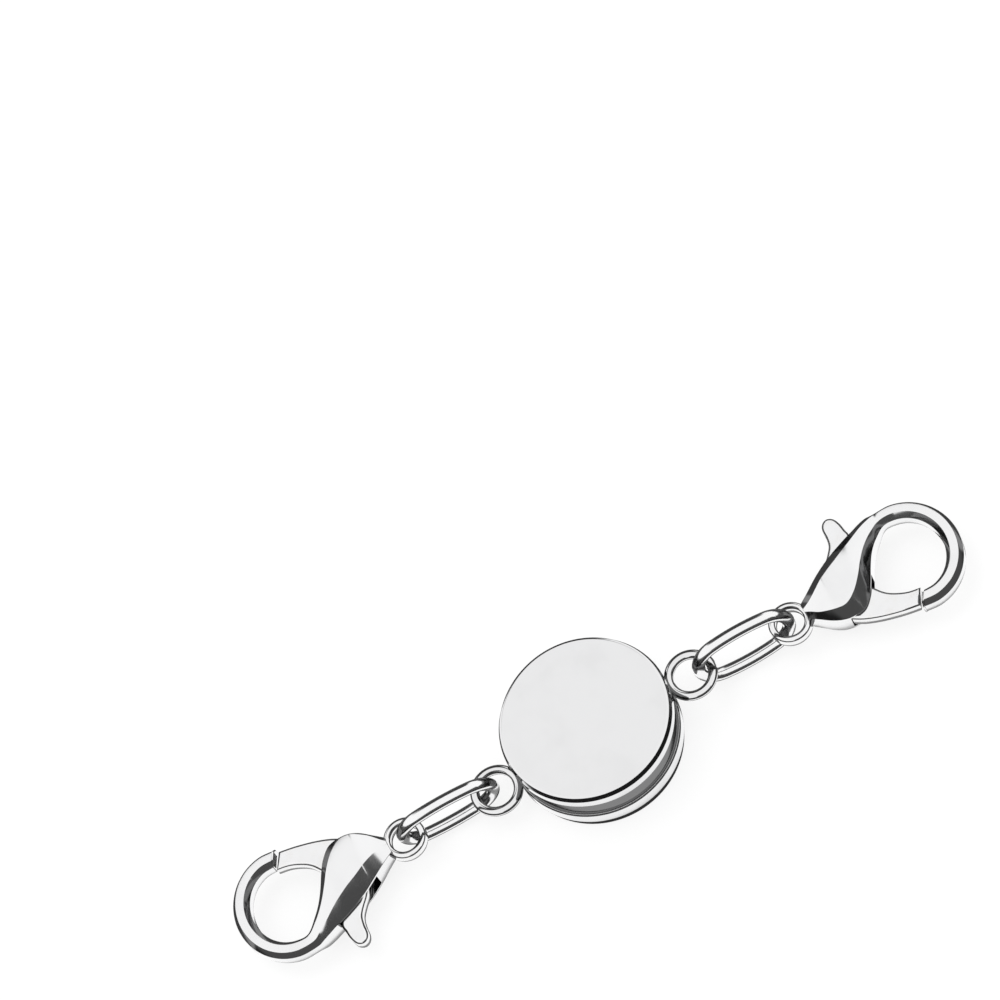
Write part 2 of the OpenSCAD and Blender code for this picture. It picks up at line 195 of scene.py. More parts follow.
class Layout:
    """Places worked out from the sizes, in millimetres"""

    def __init__(self, scene):
        h, r, c = (mm(getattr(scene, "clasp_" + part)) for part in ("halves", "rings", "claws"))
        self.h, self.r, self.c = h, r, c
        self.disc_r = h["diameter"] / 2
        self.seam_z = h["lower_height"] + h["seam"]
        self.top_z = self.seam_z + h["upper_height"]
        self.catch_r = h["catch_diameter"] / 2
        self.catch_in_r = self.catch_r - h["catch_wall"]
        self.groove_r = self.catch_r + h["catch_gap"]
        self.boss_r = self.catch_in_r - h["catch_gap"]
        self.groove_deep = h["catch_height"] + h["catch_gap"]
        self.pocket_r = h["magnet_diameter"] / 2 + h["magnet_gap"]
        self.pocket_deep = h["magnet_height"] + h["magnet_gap"]
        self.boss_z = h["lower_height"] - h["boss_drop"]
        self.eye_r = (h["eye_hole"] + h["eye_wire"]) / 2
        self.eye_x = self.disc_r + h["eye_hole"] / 2 + h["eye_wire"] - h["solder_bite"]
        self.eye_z = {
            "lower": h["lower_height"] - h["lower_eye_drop"] - h["eye_wire"] / 2,
            "upper": self.seam_z + h["upper_eye_rise"] + h["eye_wire"] / 2,
        }
        self.ring_half_l = (r["long"] - r["wire"]) / 2
        self.ring_half_w = (r["wide"] - r["wire"]) / 2
        self.bend_x = self.ring_half_l - r["bend"]
        self.side_r = (self.ring_half_l**2 + self.ring_half_w**2 - 2 * self.ring_half_l * r["bend"]) / (
            2 * (self.ring_half_w - r["bend"])
        )
        self.side_y = self.side_r - self.ring_half_w
        self.bend_angle = math.atan2(self.side_y, self.bend_x)
        self.eye_out_r = c["eye_hole"] / 2 + c["eye_wall"]
        self.hook_rx = c["hook_long"] / 2
        self.hook_ry = c["wide"] / 2
        self.hook_x = c["long"] - self.eye_out_r - self.hook_rx
        self.claw_z = c["thick"] / 2
        self.pivot = Vector((PIVOT[0] * self.hook_x, PIVOT[1] * self.hook_ry))

    def ring_place(self, side):
        """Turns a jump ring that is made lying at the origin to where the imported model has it"""
        low, high = (Vector(corner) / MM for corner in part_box(side + "_jump_ring"))
        upright = Matrix.Rotation(math.pi / 2 - self.r["lean"], 4, "X")
        if side == "lower":
            upright = Matrix.Rotation(math.pi, 4, "Z") @ upright
        return Matrix.Translation((low + high) / 2) @ upright

    def claw_place(self, side):
        """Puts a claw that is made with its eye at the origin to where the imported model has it"""
        low, high = (Vector(corner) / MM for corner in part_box(side + "_claw_body"))
        reach = self.c["long"] - self.eye_out_r
        if side == "upper":
            return Matrix.Translation((high.x - reach, 0, self.claw_z))
        return Matrix.Translation((low.x + reach, 0, self.claw_z)) @ Matrix.Rotation(math.pi, 4, "Z")


# Shapes in the plane


def rounded(points, radii, steps=5, most=0.45):
    """A line through the points with each inner corner rounded, over no more than a share of its sides"""
    line = [Vector(points[0])]
    for before, corner, after, radius in zip(points, points[1:], points[2:], radii):
        corner = Vector(corner)
        into, out = Vector(before) - corner, Vector(after) - corner
        half = into.angle(out) / 2
        reach = min(radius / math.tan(half), most * into.length, most * out.length)
        start, end = corner + into.normalized() * reach, corner + out.normalized() * reach
        for k in range(steps + 1):
            t = k / steps
            line.append(start * (1 - t) ** 2 + corner * 2 * t * (1 - t) + end * t * t)
    line.append(Vector(points[-1]))
    return line


def smooth_line(points, steps):
    """A smooth curve through all the points"""
    line = []
    last = len(points) - 1
    for k in range(last):
        a, b, c, d = (Vector(points[min(max(k + s, 0), last)]) for s in (-1, 0, 1, 2))
        for s in range(steps):
            t = s / steps
            square, cube = 2 * a - 5 * b + 4 * c - d, 3 * b - a - 3 * c + d
            line.append((2 * b + (c - a) * t + square * t**2 + cube * t**3) / 2)
    line.append(Vector(points[-1]))
    return line


def grown(outline, gap):
    """A closed outline that runs anticlockwise, moved outwards by a gap"""
    count = len(outline)
    moved = []
    for k, p in enumerate(outline):
        before, after = p - outline[k - 1], outline[(k + 1) % count] - p
        sides = [Vector((d.y, -d.x)).normalized() for d in (before, after)]
        way = (sides[0] + sides[1]).normalized()
        moved.append(p + way * gap / max(way.dot(sides[0]), 0.5))
    return moved


def drawn_in(outline, inset, nearly=0.97):
    """A closed outline moved inwards, pulled straight where it would fold over itself at a tight corner"""
    moved = grown(outline, -inset)
    count = len(outline)

    def clear(p):
        for k, a in enumerate(outline):
            side = outline[(k + 1) % count] - a
            along = min(max((p - a).dot(side) / side.length_squared, 0), 1)
            if (p - a - side * along).length < nearly * inset:
                return False
        return True

    good = [k for k, p in enumerate(moved) if clear(p)]
    for here, there in zip(good, [*good[1:], good[0] + count]):
        for k in range(here + 1, there):
            moved[k % count] = moved[here].lerp(moved[there % count], (k - here) / (there - here))
    return moved


# Meshes in millimetres


def around(steps):
    """Cosine and sine of even steps round a circle"""
    return [(math.cos(a), math.sin(a)) for a in (2 * math.pi * k / steps for k in range(steps))]


def turned(profile, steps=160):
    """A body turned round Z from a line of radius and height that starts and ends on the axis"""
    bm = bmesh.new()
    rings = []
    for radius, height in profile:
        if radius < ONE_POINT:
            rings.append([bm.verts.new((0, 0, height))])
        else:
            rings.append([bm.verts.new((radius * c, radius * s, height)) for c, s in around(steps)])
    for low, high in zip(rings, rings[1:]):
        for k in range(steps):
            n = (k + 1) % steps
            corners = [low[k % len(low)], low[n % len(low)], high[n % len(high)], high[k % len(high)]]
            kept = [v for j, v in enumerate(corners) if v not in corners[:j]]
            if len(kept) > 2:
                bm.faces.new(kept)
    return to_mesh(bm)


def hoop(radius, section, steps=128):
    """A closed section of radius and height round Z"""
    bm = bmesh.new()
    line = [(radius + p.x, p.y) for p in section]
    rings = [[bm.verts.new((out * c, out * s, z)) for out, z in line] for c, s in around(steps)]
    count = len(section)
    for k in range(steps):
        for j in range(count):
            here, there = rings[k], rings[(k + 1) % steps]
            bm.faces.new((here[j], there[j], there[(j + 1) % count], here[(j + 1) % count]))
    return to_mesh(bm)


def circle(radius, steps=32):
    """Points of a circle round the origin"""
    return [Vector((radius * c, radius * s)) for c, s in around(steps)]


def skinned(rings):
    """A solid skin over rings of points, closed at both ends"""
    bm = bmesh.new()
    rows = [[bm.verts.new(p) for p in ring] for ring in rings]
    count = len(rows[0])
    for here, there in zip(rows, rows[1:]):
        for j in range(count):
            bm.faces.new((here[j], here[(j + 1) % count], there[(j + 1) % count], there[j]))
    bm.faces.new(rows[0])
    bm.faces.new(rows[-1])
    return to_mesh(bm)


def plate(outline, thickness, middle=0.0):
    """A flat plate with an outline, its thickness on both sides of a height"""
    low, high = middle - thickness / 2, middle + thickness / 2
    return skinned([[(p.x, p.y, z) for p in outline] for z in (low, high)])


def rod(x, y, radius, low, high, steps=48):
    """A round rod along Z"""
    return skinned([[(x + p.x, y + p.y, z) for p in circle(radius, steps)] for z in (low, high)])


def to_mesh(bm):
    """A mesh from a bmesh, its faces turned outwards"""
    bmesh.ops.recalc_face_normals(bm, faces=bm.faces)
    mesh = bpy.data.meshes.new("clasp_shape")
    bm.to_mesh(mesh)
    bm.free()
    return mesh


def placed(name, data):
    """A new object in the scene"""
    made = bpy.data.objects.new(name, data)
    bpy.context.scene.collection.objects.link(made)
    return made


def hold(mesh):
    """An object that holds a mesh while modifiers work on it"""
    return placed("clasp_work", mesh)


def worked(held):
    """The mesh that an object's modifiers make, and the object is gone"""
    depsgraph = bpy.context.evaluated_depsgraph_get()
    depsgraph.update()
    mesh = bpy.data.meshes.new_from_object(held.evaluated_get(depsgraph), depsgraph=depsgraph)
    bpy.data.objects.remove(held)
    return mesh


def combined(mesh, operation, *tools):
    """A mesh joined with the tools or cut by them, one after the other"""
    held = hold(mesh)
    helpers = []
    for tool in tools:
        helper = hold(tool)
        helpers.append(helper)
        step = held.modifiers.new("combine", "BOOLEAN")
        step.operation, step.solver, step.object = operation, "EXACT", helper
    mesh = worked(held)
    for helper in helpers:
        bpy.data.objects.remove(helper)
    bm = bmesh.new()
    bm.from_mesh(mesh)
    bmesh.ops.remove_doubles(bm, verts=bm.verts, dist=ONE_POINT)
    bmesh.ops.dissolve_degenerate(bm, edges=bm.edges, dist=ONE_POINT)
    bm.to_mesh(mesh)
    bm.free()
    return mesh


# Corners sharper than this stay creases in the shading, in degrees
CREASE = 38
# A ridge starts to look rubbed at the first turn, in degrees, and is fully rubbed at the second
RUB_FROM, RUB_FULL = 7, 21


def flat_faces_kept(mesh):
    """Smooth shading that leaves flat faces flat, with creases only where a corner is sharp"""
    for face in mesh.polygons:
        face.use_smooth = True
    mesh.set_sharp_from_angle(angle=math.radians(CREASE))
    held = hold(mesh)
    held.modifiers.new("normals", "WEIGHTED_NORMAL").keep_sharp = True
    return worked(held)


def mark_edges(mesh):
    """Keeps in the attribute "edge" how near each point is to a ridge that rubbing would reach"""
    start, full = math.radians(RUB_FROM), math.radians(RUB_FULL)
    bm = bmesh.new()
    bm.from_mesh(mesh)
    values = []
    for vert in bm.verts:
        turns = [e.calc_face_angle_signed(0) for e in vert.link_edges if e.is_manifold]
        sharpest = max(turns, default=0)
        values.append(min(max((sharpest - start) / (full - start), 0), 1))
    bm.free()
    edge = mesh.attributes.new("edge", "FLOAT", "POINT")
    edge.data.foreach_set("value", values)


def finish_piece(node, tail, mesh, place, body, material):
    """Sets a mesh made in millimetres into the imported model's frame, in the place of its node"""
    name, mesh = node + tail, mesh.copy()
    mesh.transform(place)
    mesh.transform(Matrix.Scale(MM, 4))
    mesh = flat_faces_kept(mesh)
    mark_edges(mesh)
    mesh.name = name
    mesh.materials.clear()
    mesh.materials.append(material)
    piece = placed(name, mesh)
    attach(piece, body)
    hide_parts(node)


# The pieces' own shapes

# Flat stretch of a half's rim at the seam, where the outside of its profile meets the inside
RIM_FLAT = 0.3
# Roundings of the corners in millimetres, in the corners' order
LOWER_OUTSIDE, LOWER_INSIDE = (0.3, 0.02, 0.02), (0.05, 0.05, 0.04, 0.04, 0.06, 0.03)
UPPER_INSIDE, UPPER_OUTSIDE = (0.02, 0.03, 0.04, 0.08, 0.08, 0.04), (0.03, 0.12, 0.04, 0.03, 0.08)
MAGNET_ROUND, PIN_ROUND = 0.1, 0.08


def lower_cup_profile(lay):
    """From the axis over the foot and up the side, and back over the rim, the groove and the pocket"""
    h = lay.h
    height, radius = h["lower_height"], lay.disc_r
    rim, heel = radius - h["seam_bevel_wide"], radius - h["foot_taper"]
    line = [
        (0, 0), (heel, 0), (radius, h["foot_rise"]), (radius, height - h["seam_bevel_high"]),
        (rim, height), (rim - RIM_FLAT, height),
    ]
    outside = rounded(line, [h["foot"], *LOWER_OUTSIDE], steps=10)
    corners = [
        (rim - RIM_FLAT, height), (lay.groove_r, height), (lay.groove_r, height - lay.groove_deep),
        (lay.boss_r, height - lay.groove_deep), (lay.boss_r, lay.boss_z), (lay.pocket_r, lay.boss_z),
        (lay.pocket_r, lay.boss_z - lay.pocket_deep), (0, lay.boss_z - lay.pocket_deep),
    ]
    return [*outside[:-1], *rounded(corners, LOWER_INSIDE)]


def upper_cup_profile(lay):
    """From the axis through the pocket and over the standing ring, and back up the side and the face"""
    h = lay.h
    low, top, radius = lay.seam_z, lay.top_z, lay.disc_r
    rim = radius - h["taper"]
    corners = [
        (0, low + lay.pocket_deep), (lay.pocket_r, low + lay.pocket_deep), (lay.pocket_r, low),
        (lay.catch_in_r, low), (lay.catch_in_r, low - h["catch_height"]),
        (lay.catch_r, low - h["catch_height"]), (lay.catch_r, low), (rim - RIM_FLAT, low),
    ]
    shoulder = radius - h["bevel_wide"]
    ease = top - h["ease_high"]
    under = ease - h["bevel_high"]
    outside = [
        (rim - RIM_FLAT, low), (rim, low), (radius, under - h["band"]), (radius, under),
        (shoulder, ease), (shoulder - h["ease_wide"], top), (0, top),
    ]
    return [*rounded(corners, UPPER_INSIDE), *rounded(outside, UPPER_OUTSIDE, steps=8)[1:]]


# Sections of a claw from its eye to the hook. Each x is a share of the way to the hook's middle, each y of
# the hook's half width, each bevel of the section's width, the face's height of the body's half thickness
# and the upright wall of that height.
# outer x, outer y, inner x, inner y, outer bevel, inner bevel, face, wall
BODY_ROWS = (
    (0.13, 0.15, 0.13, -0.15, 0.45, 0.34, 0.50, 0.68),
    (0.21, 0.26, 0.20, -0.28, 0.36, 0.16, 0.70, 0.56),
    (0.285, 0.375, 0.275, -0.42, 0.285, 0.14, 0.88, 0.49),
    (0.36, 0.485, 0.35, -0.51, 0.24, 0.13, 1.00, 0.44),
    (0.43, 0.58, 0.43, -0.54, 0.22, 0.14, 1.00, 0.42),
    (0.52, 0.68, 0.53, -0.50, 0.21, 0.23, 1.00, 0.41),
    (0.60, 0.755, 0.61, -0.33, 0.21, 0.29, 0.97, 0.42),
    (0.665, 0.81, 0.665, -0.13, 0.22, 0.33, 0.91, 0.45),
    (0.735, 0.865, 0.725, 0.13, 0.23, 0.33, 0.82, 0.49),
    (0.80, 0.92, 0.785, 0.345, 0.24, 0.31, 0.72, 0.54),
    (0.865, 0.965, 0.855, 0.52, 0.25, 0.30, 0.61, 0.55),
)
# The hook runs round its bend between these angles in degrees, in even steps, with these shares
HOOK_START, HOOK_END_IN, HOOK_END_OUT = 100, -98, -105
HOOK_STEPS = 10
HOOK_BEVEL_OUT, HOOK_BEVEL_IN, HOOK_WALL = 0.25, 0.28, 0.46
# Rounding of the hook's tip and the steps that it takes, and the least width of a bevel, in millimetres
TIP_ROUND, TIP_STEPS, LEAST_BEVEL = 0.12, 5, 0.02
# Smooth steps between two sections of the skin, and steps in the sweep that cuts the lever's slot
SKIN_STEPS, SWEEP_STEPS = 10, 4

# The pin's place and the outline of the lever, in the same shares as a section's x and y. The trigger's y is
# a share of its own height over its root, and the gate's ends are shares of the hook's band.
PIVOT = (0.408, -0.045)
TRIGGER_ROOT = 0.66
GATE_END_IN, GATE_END_OUT = 0.2, 0.9
LEVER_ROOT = ((0.63, 0.62), (0.575, 0.36), (0.565, 0.12), (0.62, -0.08))
GATE_INSIDE = ((0.66, -0.21), (0.71, -0.37), (0.77, -0.48), (0.86, -0.58))
GATE_OUTSIDE = ((0.755, -0.85), (0.59, -0.74), (0.455, -0.60))
LEVER_BACK = ((0.345, -0.40), (0.29, -0.18), (0.30, 0.06), (0.355, 0.27), (0.43, 0.58))
TRIGGER = (
    (0.485, 0.10), (0.53, 0.31), (0.546, 0.55), (0.55, 0.79), (0.573, 0.94),
    (0.615, 1.00), (0.66, 0.92), (0.685, 0.73), (0.695, 0.50), (0.70, 0.28),
)
# Where the pin's seat starts under the middle, in half thicknesses of the body
SEAT_BELOW = 1.2
# Steps of the bevel on the lever's edges: how far in and how far below the face, in shares of its width
LEVER_BEVEL = ((1.12, 0), (0.9, 0.06), (0.06, 0.9), (0, 1.12))


def hook_point(lay, inset, degrees):
    """A point of the hook's bend, inside its outline by an inset"""
    a = math.radians(degrees)
    along, across = (lay.hook_rx - inset) * math.cos(a), (lay.hook_ry - inset) * math.sin(a)
    return Vector((lay.hook_x + along, across))


def hook_tip(lay):
    """Inner corner of the hook's tip, the way along its end and the way out of it"""
    inner, outer = hook_point(lay, lay.c["hook_band"], HOOK_END_IN), hook_point(lay, 0, HOOK_END_OUT)
    along = (outer - inner).normalized()
    return inner, along, Vector((along.y, -along.x))


def claw_rows(lay):
    """The sections of body and hook in millimetres, in the order of BODY_ROWS' columns"""
    scale = (lay.hook_x, lay.hook_ry, lay.hook_x, lay.hook_ry, 1, 1, lay.claw_z, 1)
    rows = [tuple(part * size for part, size in zip(row, scale)) for row in BODY_ROWS]
    for k in range(HOOK_STEPS + 1):
        out, into = (HOOK_START + (end - HOOK_START) * k / HOOK_STEPS for end in (HOOK_END_OUT, HOOK_END_IN))
        outer, inner = hook_point(lay, 0, out), hook_point(lay, lay.c["hook_band"], into)
        rows.append((*outer, *inner, HOOK_BEVEL_OUT, HOOK_BEVEL_IN, lay.c["hook_thick"] / 2, HOOK_WALL))
    return rows


def claw_section(lay, row, inset=0.0, shift=Vector((0, 0))):
    """One section of a claw with its ridges rounded, as points in space"""
    outer, inner = Vector(row[0:2]), Vector(row[2:4])
    width = (inner - outer).length
    way = (inner - outer) / width
    high = min(row[6], lay.claw_z)
    wall = high * row[7] - inset
    high -= inset
    left, right = inset, width - inset
    flat_left = max(row[4] * width, left + LEAST_BEVEL)
    flat_right = min(width * (1 - row[5]), right - LEAST_BEVEL)
    corners = [
        (left, wall), (flat_left, high), (flat_right, high), (right, wall),
        (right, -wall), (flat_right, -high), (flat_left, -high), (left, -wall),
    ]
    closed = rounded([corners[-1], *corners, corners[0]], [lay.c["ridge"]] * 8, steps=4)[1:-1]
    return [(*(outer + way * p.x + shift), p.y) for p in closed]


def claw_skin(lay):
    """Body and hook of a claw as one skin, with a rounded tip"""
    rows = smooth_line(claw_rows(lay), SKIN_STEPS)
    tip, _, away = hook_tip(lay)
    rings = []
    for row in rows:
        if row[1] > 0 or (Vector(row[0:2]) - tip).dot(away) < -TIP_ROUND:
            rings.append(claw_section(lay, row))
    for k in range(TIP_STEPS + 1):
        a = math.pi / 2 * k / TIP_STEPS
        inset, shift = TIP_ROUND * (1 - math.cos(a)), away * TIP_ROUND * (math.sin(a) - 1)
        rings.append(claw_section(lay, rows[-1], inset, shift))
    return skinned(rings)


def lever_outline(lay, steps=6):
    """The lever's outline, anticlockwise from the inner corner of its gate"""
    top, root = lay.hook_ry + lay.c["trigger"], TRIGGER_ROOT * lay.hook_ry
    tip, along, away = hook_tip(lay)
    corner, band = tip + away * lay.c["tip_gap"], lay.c["hook_band"]
    gate_in, gate_out = corner - along * GATE_END_IN * band, corner + along * GATE_END_OUT * band

    def shares(points):
        return [Vector((x * lay.hook_x, y * lay.hook_ry)) for x, y in reversed(points)]

    trigger = [Vector((x * lay.hook_x, root + y * (top - root))) for x, y in reversed(TRIGGER)]
    chain = [
        gate_in, *shares(GATE_INSIDE), *shares(LEVER_ROOT), *trigger,
        *shares(LEVER_BACK), *shares(GATE_OUTSIDE), gate_out,
    ]
    return smooth_line(chain, steps)


def claw_body_mesh(lay):
    """Body, hook and eye, cut by the slot that the lever sweeps and by the pin's seat"""
    c = lay.c
    wall, side = c["eye_wall"] / 2, (c["eye_thick"] - c["eye_wall"]) / 2
    section = [p + Vector((0, side if p.y > 0 else -side)) for p in circle(wall, WIRE_SIDES)]
    body = combined(claw_skin(lay), "UNION", hoop(c["eye_hole"] / 2 + wall, section))
    slot = grown(lever_outline(lay, steps=4), c["lever_gap"])
    height = c["lever_thick"] + 2 * c["lever_gap"]
    turns = []
    for k in range(SWEEP_STEPS + 1):
        turn = Matrix.Rotation(c["swing"] * k / SWEEP_STEPS, 2)
        turns.append(plate([lay.pivot + turn @ (p - lay.pivot) for p in slot], height))
    sweep = combined(turns[0], "UNION", *turns[1:])
    low, high = -SEAT_BELOW * lay.claw_z, lay.claw_z - c["pin_cover"]
    seat = rod(*lay.pivot, c["pin"] / 2 + c["pin_seat_gap"], low, high)
    return combined(body, "DIFFERENCE", sweep, seat)


def claw_lever_mesh(lay):
    """Gate and trigger in one plate with bevelled edges and the pin's hole"""
    c = lay.c
    outline, half, ridge = lever_outline(lay), c["lever_thick"] / 2, c["lever_ridge"]
    rings = []
    for inset, below in LEVER_BEVEL:
        line = drawn_in(outline, inset * ridge) if inset else outline
        rings.append([(p.x, p.y, half - below * ridge) for p in line])
    under = [[(x, y, -z) for x, y, z in ring] for ring in rings]
    lever = skinned([*rings, *reversed(under)])
    hole = rod(*lay.pivot, c["pin"] / 2 + c["pin_run_gap"], -2 * half, 2 * half)
    return combined(lever, "DIFFERENCE", hole)


def claw_pin_mesh(lay):
    """A plain round pin with eased ends"""
    c = lay.c
    low = -lay.claw_z + c["pin_seat_gap"]
    high = lay.claw_z - c["pin_cover"] - c["pin_seat_gap"]
    radius = c["pin"] / 2
    line = rounded([(0, low), (radius, low), (radius, high), (0, high)], [PIN_ROUND] * 2)
    pin = turned(line, steps=64)
    pin.transform(Matrix.Translation((*lay.pivot, 0)))
    return pin


# Jump rings, made by Geometry Nodes


# How many nodes lie in a row of the editor, and the steps along and down
IN_ROW, ALONG, DOWN = 13, 180, 220


class NodeMaker:
    """Adds nodes to a tree and joins them"""

    def __init__(self, tree):
        self.tree = tree

    def add(self, kind, *inputs, named=None, **settings):
        """A new node. Its inputs, in their order or by name, are numbers or outputs of other nodes, None
        leaves one as it is, and the settings are the node's own."""
        node = self.tree.nodes.new(kind)
        for key, value in settings.items():
            setattr(node, key, value)
        for socket, value in zip(node.inputs, inputs):
            self.feed(socket, value)
        for key, value in (named or {}).items():
            self.feed(node.inputs[key], value)
        row, column = divmod(len(self.tree.nodes), IN_ROW)
        node.location = (ALONG * column, -DOWN * row)
        return node

    def out(self, kind, *inputs, **settings):
        """The first output of a new node"""
        return self.add(kind, *inputs, **settings).outputs[0]

    def feed(self, socket, value):
        """Joins an output to a socket, or sets the socket to a value"""
        if isinstance(value, bpy.types.NodeSocket):
            self.tree.links.new(value, socket)
        elif value is not None:
            socket.default_value = value

    def math(self, operation, *values, clamp=False):
        """One step of arithmetic"""
        return self.out("ShaderNodeMath", *values, operation=operation, use_clamp=clamp)

    def product(self, *values):
        """All the values multiplied"""
        result = values[0]
        for value in values[1:]:
            result = self.math("MULTIPLY", result, value)
        return result

    def ramp(self, value, start, end):
        """A smooth rise from 0 at the start to 1 at the end, which may be the lower one"""
        return self.out("ShaderNodeMapRange", value, start, end, 0, 1, interpolation_type="SMOOTHSTEP")

    def mix(self, factor, a, b, colours=False):
        """Between two numbers or two colours"""
        node = self.add("ShaderNodeMix", data_type="RGBA" if colours else "FLOAT")
        first = 6 if colours else 2
        for index, value in zip((0, first, first + 1), (factor, a, b)):
            self.feed(node.inputs[index], value)
        return node.outputs[2 if colours else 0]


def new_socket(tree, name, in_out, kind, value=None):
    """A named input or output of a node group"""
    socket = tree.interface.new_socket(name, in_out=in_out, socket_type="NodeSocket" + kind)
    if value is not None:
        socket.default_value = value


def cleared(holder):
    """A maker of nodes in the emptied tree of a new material or world"""
    holder.use_nodes = True
    holder.node_tree.nodes.clear()
    return NodeMaker(holder.node_tree)


# Points of the oval before it is evened out
OVAL_POINTS = 720


def wire_ring_tree():
    """A closed ring of round wire along an oval of four arcs. The oval is followed by the direction that it
    faces: the two bends belong to directions near its long axis, and the two sides to the others."""
    tree = bpy.data.node_groups.new("clasp_wire_ring", "GeometryNodeTree")
    new_socket(tree, "Geometry", "INPUT", "Geometry")
    for name in ("Bend Radius", "Bend Middle", "Side Radius", "Side Middle", "Bend Angle", "Wire Radius"):
        new_socket(tree, name, "INPUT", "Float", 1.0)
    new_socket(tree, "Stations", "INPUT", "Int", 160)
    new_socket(tree, "Material", "INPUT", "Material")
    new_socket(tree, "Geometry", "OUTPUT", "Geometry")
    make = NodeMaker(tree)
    given = make.add("NodeGroupInput").outputs
    point = make.out("GeometryNodeInputIndex")
    facing = make.math("MULTIPLY", point, 2 * math.pi / OVAL_POINTS)
    across, up = make.math("COSINE", facing), make.math("SINE", facing)
    limit = make.math("COSINE", given["Bend Angle"])
    in_bend = make.math("GREATER_THAN", make.math("ABSOLUTE", across), limit)
    on_side = make.math("SUBTRACT", 1.0, in_bend)
    radius = make.mix(in_bend, given["Side Radius"], given["Bend Radius"])
    bend_middle = make.product(make.math("SIGN", across), given["Bend Middle"], in_bend)
    side_middle = make.product(make.math("SIGN", up), given["Side Middle"], on_side)
    x = make.math("MULTIPLY_ADD", across, radius, bend_middle)
    y = make.math("SUBTRACT", make.math("MULTIPLY", up, radius), side_middle)
    place = make.out("ShaderNodeCombineXYZ", x, y, 0.0)
    loop = make.out("GeometryNodeCurvePrimitiveCircle", OVAL_POINTS, mode="RADIUS")
    oval = make.out("GeometryNodeSetPosition", loop, None, place)
    even = make.out("GeometryNodeResampleCurve", oval, None, given["Stations"], mode="COUNT")
    wire_r = {"Radius": given["Wire Radius"]}
    section = make.out("GeometryNodeCurvePrimitiveCircle", WIRE_SIDES, mode="RADIUS", named=wire_r)
    wire = make.out("GeometryNodeCurveToMesh", even, section)
    soft = make.out("GeometryNodeSetShadeSmooth", wire)
    real = make.out("GeometryNodeRealizeInstances", soft)
    done = make.out("GeometryNodeSetMaterial", real, named={"Material": given["Material"]})
    make.add("NodeGroupOutput", done)
    return tree


def jump_ring_mesh(lay, material):
    """The plain mesh of a jump ring that the Geometry Nodes tree makes, lying at the origin"""
    r = lay.r
    tree = bpy.data.node_groups.get("clasp_wire_ring") or wire_ring_tree()
    held = hold(bpy.data.meshes.new("clasp_ring"))
    maker = held.modifiers.new("ring", "NODES")
    maker.node_group = tree
    values = {
        "Bend Radius": r["bend"], "Bend Middle": lay.bend_x, "Side Radius": lay.side_r,
        "Side Middle": lay.side_y, "Bend Angle": lay.bend_angle, "Wire Radius": r["wire"] / 2,
        "Stations": r["stations"], "Material": material,
    }
    for item in tree.interface.items_tree:
        if item.in_out == "INPUT" and item.name in values:
            maker[item.identifier] = values[item.name]
    bm = bmesh.new()
    bm.from_mesh(worked(held))
    return to_mesh(bm)


# Finishes

# Scales of the haze, the hairlines, the rubbed patches and the turned grooves, per metre
HAZE_SCALE, HAIRLINE_SCALE, PATCH_SCALE, GROOVE_SCALE = 420.0, 9000.0, 1500.0, 16000.0
# Detail and roughness of their noises
HAZE_GRAIN, HAIRLINE_GRAIN, PATCH_GRAIN, GROOVE_GRAIN = (3.0, 0.55), (2.0, 0.5), (4.0, 0.6), (2.0, 0.6)
# The noises' values from which haze, hairlines and rubbed patches show and are full
HAZE_RANGE, HAIRLINE_RANGE, PATCH_RANGE = (0.42, 0.72), (0.66, 0.78), (0.45, 0.65)
# The two ways that hairlines run and their tilt, in radians, and how they are moved apart and drawn out
HAIRLINE_TURNS, HAIRLINE_TILT, HAIRLINE_SHIFT, HAIRLINE_STRETCH = (0.35, 1.9), (0.2, 0.1), 0.003, 0.035
# How much of its colour hazy plating keeps, and what hairlines and rubbing add to the roughness
HAZE_KEEPS, HAIRLINE_ROUGH, RUBBED_ROUGH = 0.972, 0.12, 0.3
# Strength of the relief without scratches and what full scratches add, and its height in metres
RELIEF, RELIEF_SCRATCHED, RELIEF_HIGH = 0.02, 0.1, 0.000004


def handling_haze(make, given):
    """Soft cloudiness that handling leaves on polished plating"""
    clouds = make.out("ShaderNodeTexNoise", given["Vector"], None, given["Scale"], *HAZE_GRAIN)
    return make.ramp(clouds, *HAZE_RANGE)


def fine_hairlines(make, given):
    """Fine scratches in two directions"""
    lines = []
    for turn in HAIRLINE_TURNS:
        lie = (HAIRLINE_SHIFT * turn, 0, 0), (*HAIRLINE_TILT, turn), (1, HAIRLINE_STRETCH, 1)
        place = make.out("ShaderNodeMapping", given["Vector"], *lie)
        grain = make.out("ShaderNodeTexNoise", place, None, given["Scale"], *HAIRLINE_GRAIN)
        lines.append(make.ramp(grain, *HAIRLINE_RANGE))
    return make.math("MAXIMUM", *lines)


def rubbed_edges(make, given):
    """Where the plating is rubbed along a piece's ridges"""
    noise = make.out("ShaderNodeTexNoise", given["Vector"], None, given["Scale"], *PATCH_GRAIN)
    return make.math("MULTIPLY", given["Edge"], make.ramp(noise, *PATCH_RANGE), clamp=True)


def amount(outer, nodes, *inputs, **numbers):
    """The result of a shader group that is filled by one of the above. The group is made once, and a vector
    and the numbers are its inputs."""
    name = "clasp_" + nodes.__name__
    tree = bpy.data.node_groups.get(name)
    if not tree:
        tree = bpy.data.node_groups.new(name, "ShaderNodeTree")
        new_socket(tree, "Vector", "INPUT", "Vector")
        for key, value in numbers.items():
            new_socket(tree, key, "INPUT", "Float", value)
        new_socket(tree, "Amount", "OUTPUT", "Float")
        make = NodeMaker(tree)
        make.add("NodeGroupOutput", nodes(make, make.add("NodeGroupInput").outputs))
    return outer.out("ShaderNodeGroup", *inputs, node_tree=tree)


